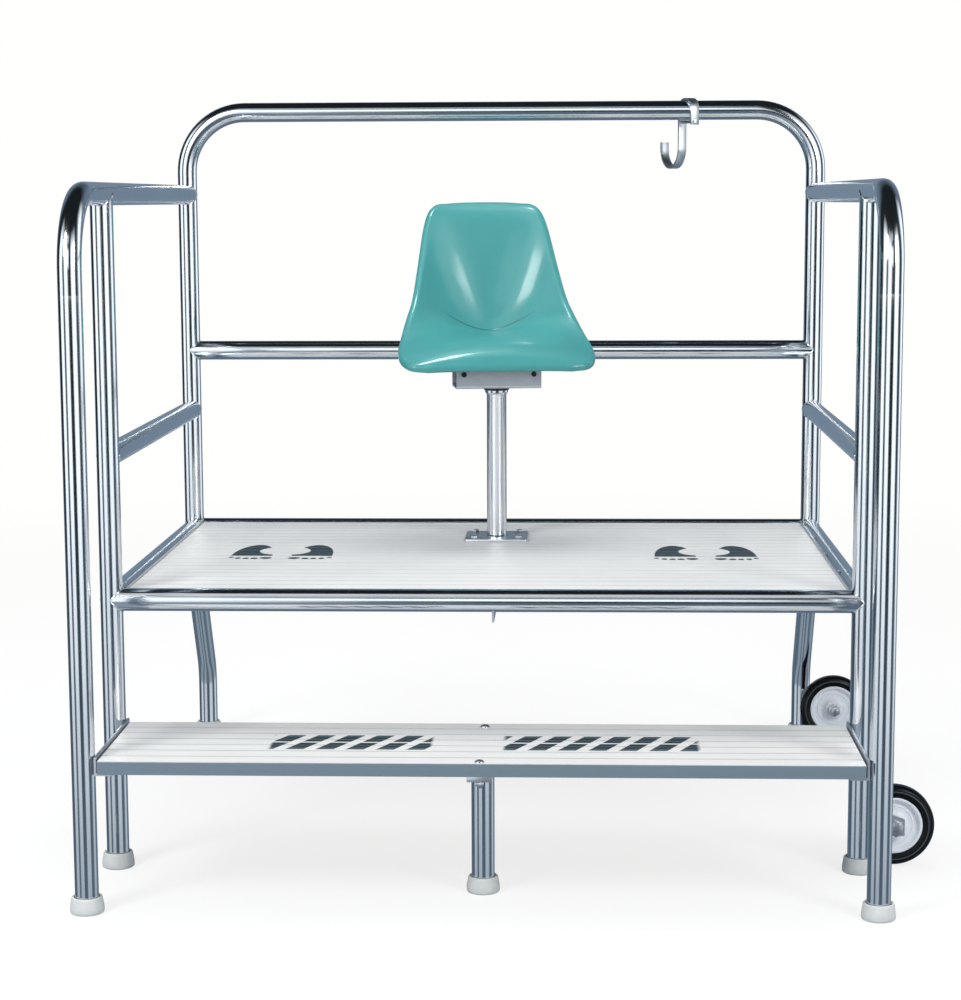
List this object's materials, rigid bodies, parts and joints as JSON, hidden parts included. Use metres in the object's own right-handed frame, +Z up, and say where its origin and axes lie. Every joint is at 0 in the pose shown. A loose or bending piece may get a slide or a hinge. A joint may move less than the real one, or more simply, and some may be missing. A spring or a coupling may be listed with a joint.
{
  "type": "lifeguard stand",
  "caption": "Movable poolside lifeguard stand: bent-tube steel frame with step, planked deck, swivel bucket seat on a post, hook, and wheels on one side.",
  "frame": {"origin": "on the floor, at the middle of the flat underside of the foot below the step's centre leg", "axes": "+X across the stand, to the right of someone facing its front, towards the wheels; +Y from the step towards the back; +Z up"},
  "size_m": [1.8035, 1.655, 1.6854],
  "materials": {
    "stainless_tube": "polished stainless tube",
    "satin_steel": "satin stainless plate, bar and fasteners",
    "plank_aluminium": "satin anodised extrusion with fine grooves",
    "foot_rubber": "matt cream-white moulded tip",
    "seat_gel_coat": "semi-gloss turquoise moulded shell",
    "black_nylon": "black, matt",
    "plywood": "sealed board, hidden under the pan",
    "tyre_rubber": "black rubber, slightly glossy edge",
    "hub_nylon": "white moulded hub"
  },
  "bodies": {
    "stand": {"rear_bow": "stainless_tube", "rear_mid_rail": "stainless_tube", "rear_upright_left": "stainless_tube", "rear_upright_right": "stainless_tube", "handrail_left": "stainless_tube", "handrail_right": "stainless_tube", "middle_leg_left": "stainless_tube", "middle_leg_right": "stainless_tube", "side_mid_rail_left": "stainless_tube", "side_mid_rail_right": "stainless_tube", "deck_tube_front": "stainless_tube", "deck_tube_rear": "stainless_tube", "deck_tube_left": "stainless_tube", "deck_tube_right": "stainless_tube", "step_leg": "stainless_tube", "seat_post": "stainless_tube", "foot_front_left": "foot_rubber", "foot_front_right": "foot_rubber", "foot_middle_left": "foot_rubber", "foot_middle_right": "foot_rubber", "foot_rear_left": "foot_rubber", "foot_rear_right": "foot_rubber", "foot_centre": "foot_rubber", "deck_plank_1": "plank_aluminium", "deck_plank_2": "plank_aluminium", "deck_plank_3": "plank_aluminium", "deck_plank_4": "plank_aluminium", "step_plank": "plank_aluminium", "deck_ledge_left": "satin_steel", "deck_ledge_right": "satin_steel", "step_ledge_left": "satin_steel", "step_ledge_right": "satin_steel", "deck_stringer": "satin_steel", "step_cross_bar": "satin_steel", "step_bolt_1": "satin_steel", "step_bolt_2": "satin_steel", "base_bolt_1": "satin_steel", "base_bolt_2": "satin_steel", "base_bolt_3": "satin_steel", "base_bolt_4": "satin_steel", "post_base_plate": "satin_steel", "swivel_bushing": "black_nylon", "front_wheel_plate": "satin_steel", "front_axle_bolt": "satin_steel", "front_axle_nut": "satin_steel", "rear_wheel_plate": "satin_steel", "rear_axle_bolt": "satin_steel", "rear_axle_nut": "satin_steel", "rail_hook": "satin_steel", "hook_bolt": "satin_steel"},
    "seat": {"seat_spindle": "satin_steel", "seat_bracket": "satin_steel", "bracket_bolt_1": "black_nylon", "bracket_bolt_2": "black_nylon", "seat_block": "plywood", "seat_shell": "seat_gel_coat"},
    "front_wheel": {"front_wheel_tyre": "tyre_rubber", "front_wheel_hub": "hub_nylon"},
    "rear_wheel": {"rear_wheel_tyre": "tyre_rubber", "rear_wheel_hub": "hub_nylon"}
  },
  "joints": [
    {"name": "seat_swivel", "type": "hinge", "parent": "stand", "child": "seat", "pos_m": [0, 0.955, 0.975], "axis": [0, 0, 1], "continuous": true},
    {"name": "front_wheel_spin", "type": "hinge", "parent": "stand", "child": "front_wheel", "pos_m": [0.881, 0.21973, 0.0895], "axis": [0, 1, 0], "continuous": true},
    {"name": "rear_wheel_spin", "type": "hinge", "parent": "stand", "child": "rear_wheel", "pos_m": [0.881, 1.36027, 0.0895], "axis": [0, 1, 0], "continuous": true}
  ]
}
